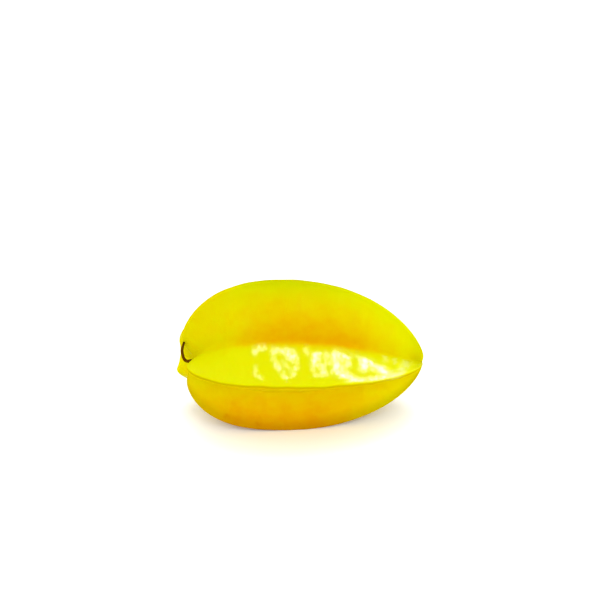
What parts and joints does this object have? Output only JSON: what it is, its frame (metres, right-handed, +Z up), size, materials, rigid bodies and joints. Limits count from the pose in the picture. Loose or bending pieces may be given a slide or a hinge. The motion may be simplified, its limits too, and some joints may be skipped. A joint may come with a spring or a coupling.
{
  "type": "star fruit",
  "caption": "Whole ripe star fruit (carambola) with tall ribs and a short dry stalk, lying on its side.",
  "frame": {"origin": "centre of the bounding box on the surface that the fruit lies on", "axes": "+Z up, +X along the fruit from the stalk end to the blossom end, -Y towards the front rib"},
  "size_m": [0.1112, 0.0718, 0.0673],
  "materials": {
    "skin": "waxy, semi-gloss fruit skin, yellow with orange grooves and greener crests",
    "stalk": "dry, matt, dark brown"
  },
  "bodies": {
    "root": {"fruit": "skin", "stalk": "stalk"}
  },
  "joints": []
}
